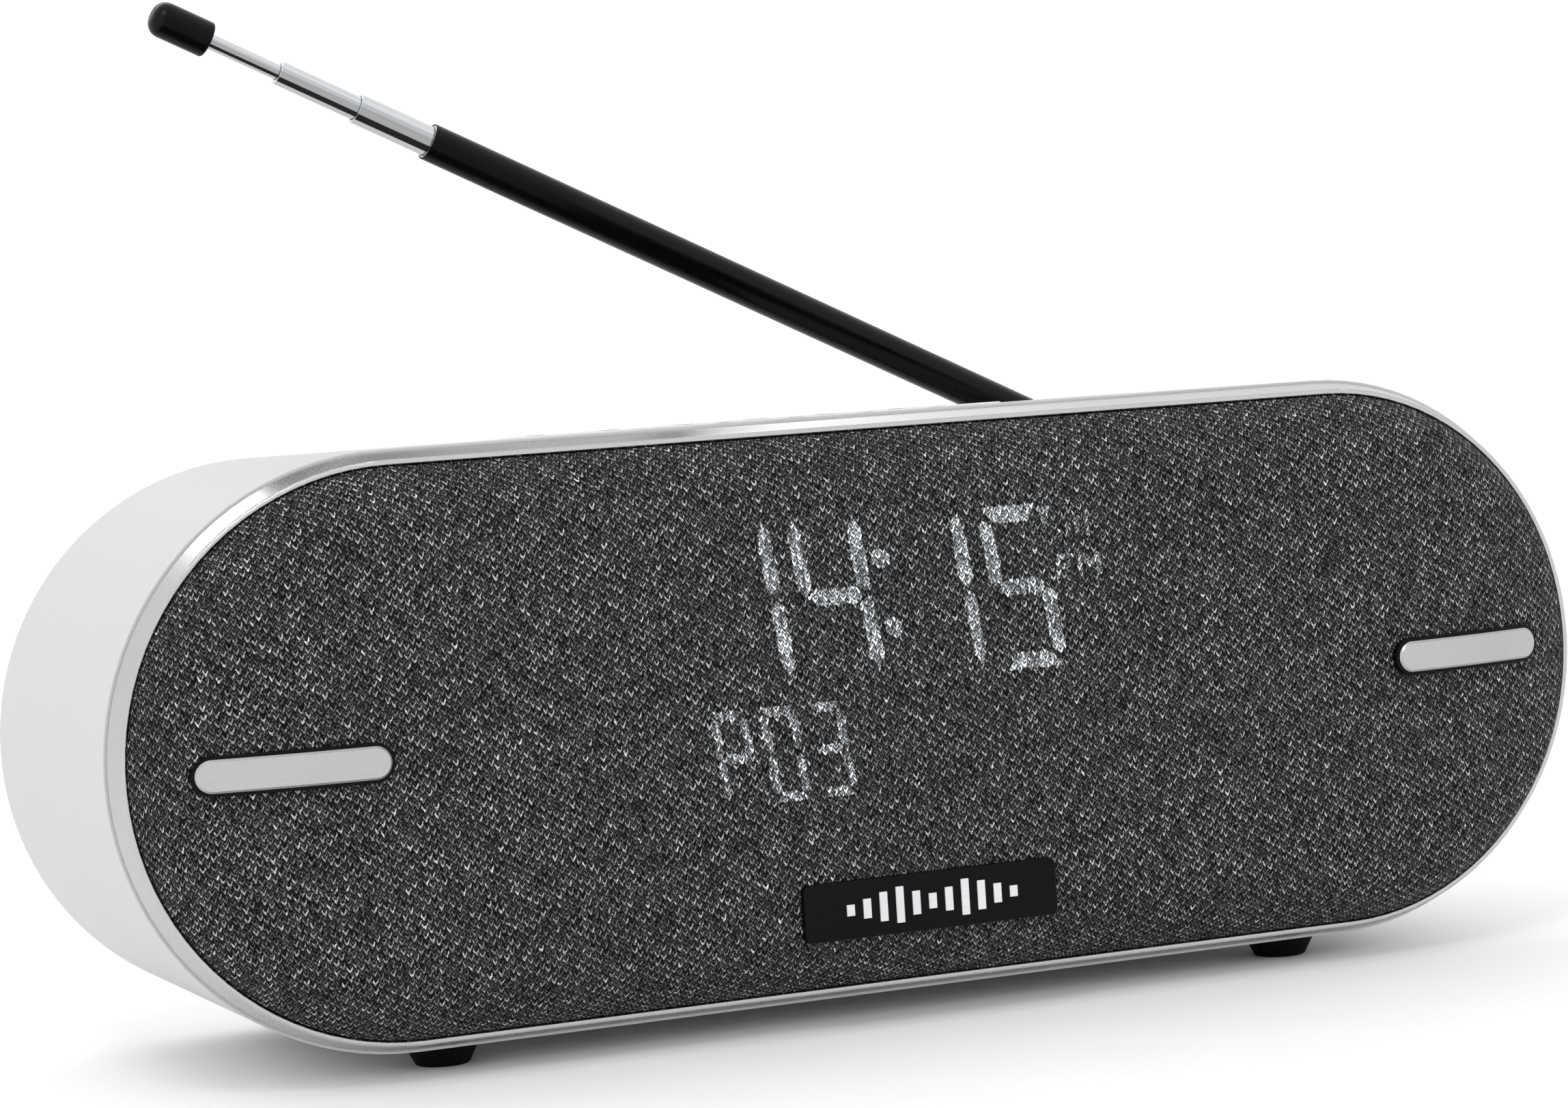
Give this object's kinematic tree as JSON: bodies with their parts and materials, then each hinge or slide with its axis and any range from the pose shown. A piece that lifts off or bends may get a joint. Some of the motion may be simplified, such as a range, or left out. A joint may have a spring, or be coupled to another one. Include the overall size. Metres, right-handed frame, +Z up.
{
  "type": "tabletop radio",
  "caption": "Tabletop radio with a rounded white body, crowned knit-cloth front, silver ring, cloth-through clock display, top keys and a swivelling telescopic aerial.",
  "frame": {"origin": "on the table, under the middle of the whole set's outline with the aerial as stored", "axes": "+X to the listener's right along the body's length, +Y to the rear, +Z up"},
  "size_m": [0.2342, 0.0848, 0.1556],
  "materials": {
    "shell_white": "satin moulded ABS",
    "rear_white": "fine spark-textured ABS",
    "satin_silver": "satin anodised",
    "black_abs": "moulded, matt",
    "grille_knit": "knitted polyester, melange",
    "badge_black": "satin black plate",
    "badge_print": "raised pale marks",
    "foot_rubber": "moulded rubber",
    "basket_steel": "pressed steel, black",
    "magnet_ferrite": "ferrite ring and zinc plates",
    "cone_paper": "pressed paper",
    "surround_rubber": "butyl rubber",
    "gasket_foam": "closed-cell foam",
    "light_box_white": "white reflector plastic",
    "segment_diffuser": "milky diffuser",
    "circuit_board": "solder-masked laminate",
    "ribbon_film": "polyimide film",
    "tin_can": "tinned steel",
    "cell_wrap": "shrink-wrapped cell",
    "bezel_grey": "moulded, fine matt",
    "key_white": "moulded, fine matt",
    "switch_black": "moulded",
    "screw_steel": "zinc-plated steel",
    "aerial_chrome": "bright nickel-chrome plating",
    "aerial_black": "satin black sleeve and cap",
    "contact_brass": "spring brass"
  },
  "bodies": {
    "radio": {"main_housing": "shell_white", "rear_panel": "rear_white", "aerial_clip": "rear_white", "front_ring": "satin_silver", "trim_bar_left": "satin_silver", "trim_bar_right": "satin_silver", "front_baffle": "black_abs", "grille_frame": "black_abs", "trim_base_left": "black_abs", "trim_base_right": "black_abs", "battery_tray": "black_abs", "aux_socket": "black_abs", "grille_cloth": "grille_knit", "badge_plate": "badge_black", "badge_marks": "badge_print", "foot_front_left": "foot_rubber", "foot_front_right": "foot_rubber", "foot_rear_left": "foot_rubber", "foot_rear_right": "foot_rubber", "speaker_basket_left": "basket_steel", "speaker_magnet_left": "magnet_ferrite", "speaker_cone_left": "cone_paper", "speaker_surround_left": "surround_rubber", "speaker_gasket_left": "gasket_foam", "speaker_basket_right": "basket_steel", "speaker_magnet_right": "magnet_ferrite", "speaker_cone_right": "cone_paper", "speaker_surround_right": "surround_rubber", "speaker_gasket_right": "gasket_foam", "display_light_box": "light_box_white", "display_segments": "segment_diffuser", "display_board": "circuit_board", "main_board": "circuit_board", "key_board": "circuit_board", "display_ribbon": "ribbon_film", "tuner_module": "tin_can", "charge_socket": "tin_can", "battery_pack": "cell_wrap", "key_bezel": "bezel_grey", "key_switches": "switch_black", "inner_screws": "screw_steel", "rear_screws": "screw_steel", "aerial_bracket": "contact_brass"},
    "aerial_base": {"aerial_swivel": "aerial_black", "aerial_circlip": "screw_steel", "aerial_pin": "screw_steel"},
    "aerial_arm": {"aerial_knuckle": "aerial_chrome", "aerial_outer_tube": "aerial_chrome", "aerial_sleeve": "aerial_black"},
    "aerial_middle": {"aerial_middle_tube": "aerial_chrome"},
    "aerial_inner": {"aerial_inner_tube": "aerial_chrome"},
    "aerial_tip": {"aerial_rod": "aerial_chrome", "aerial_cap": "aerial_black"},
    "power_key": {"key_power": "key_white"},
    "source_key": {"key_source": "key_white"},
    "back_key": {"key_back": "key_white"},
    "play_key": {"key_play": "key_white"},
    "next_key": {"key_next": "key_white"},
    "volume_down_key": {"key_volume_down": "key_white"},
    "volume_up_key": {"key_volume_up": "key_white"}
  },
  "joints": [
    {"name": "aerial_swing", "type": "hinge", "parent": "radio", "child": "aerial_base", "pos_m": [0.08, 0.03283, 0.07384], "axis": [0, 1, 0], "range_deg": [-26.13, 153.87]},
    {"name": "aerial_tilt", "type": "hinge", "parent": "aerial_base", "child": "aerial_arm", "pos_m": [0.08, 0.03742, 0.07384], "axis": [-0.4404, 0, -0.8978], "range_deg": [0, 90]},
    {"name": "middle_section_slide", "type": "slide", "parent": "aerial_arm", "child": "aerial_middle", "axis": [-0.8978, 0, 0.4404], "range_m": [-0.0116, 0.105]},
    {"name": "inner_section_slide", "type": "slide", "parent": "aerial_middle", "child": "aerial_inner", "axis": [-0.8978, 0, 0.4404], "range_m": [-0.0125, 0.105]},
    {"name": "rod_slide", "type": "slide", "parent": "aerial_inner", "child": "aerial_tip", "axis": [-0.8978, 0, 0.4404], "range_m": [-0.0109, 0.105]},
    {"name": "power_press", "type": "slide", "parent": "radio", "child": "power_key", "axis": [0, 0.0244, 0.9997], "range_m": [-0.0008, 0], "stiffness_N_per_m": 1500, "springref_m": 0.0002},
    {"name": "source_press", "type": "slide", "parent": "radio", "child": "source_key", "axis": [0, 0.0244, 0.9997], "range_m": [-0.0008, 0], "stiffness_N_per_m": 1500, "springref_m": 0.0002},
    {"name": "back_press", "type": "slide", "parent": "radio", "child": "back_key", "axis": [0, 0.0244, 0.9997], "range_m": [-0.0008, 0], "stiffness_N_per_m": 1500, "springref_m": 0.0002},
    {"name": "play_press", "type": "slide", "parent": "radio", "child": "play_key", "axis": [0, 0.0244, 0.9997], "range_m": [-0.0008, 0], "stiffness_N_per_m": 1500, "springref_m": 0.0002},
    {"name": "next_press", "type": "slide", "parent": "radio", "child": "next_key", "axis": [0, 0.0244, 0.9997], "range_m": [-0.0008, 0], "stiffness_N_per_m": 1500, "springref_m": 0.0002},
    {"name": "volume_down_press", "type": "slide", "parent": "radio", "child": "volume_down_key", "axis": [0, 0.0244, 0.9997], "range_m": [-0.0008, 0], "stiffness_N_per_m": 1500, "springref_m": 0.0002},
    {"name": "volume_up_press", "type": "slide", "parent": "radio", "child": "volume_up_key", "axis": [0, 0.0244, 0.9997], "range_m": [-0.0008, 0], "stiffness_N_per_m": 1500, "springref_m": 0.0002}
  ]
}
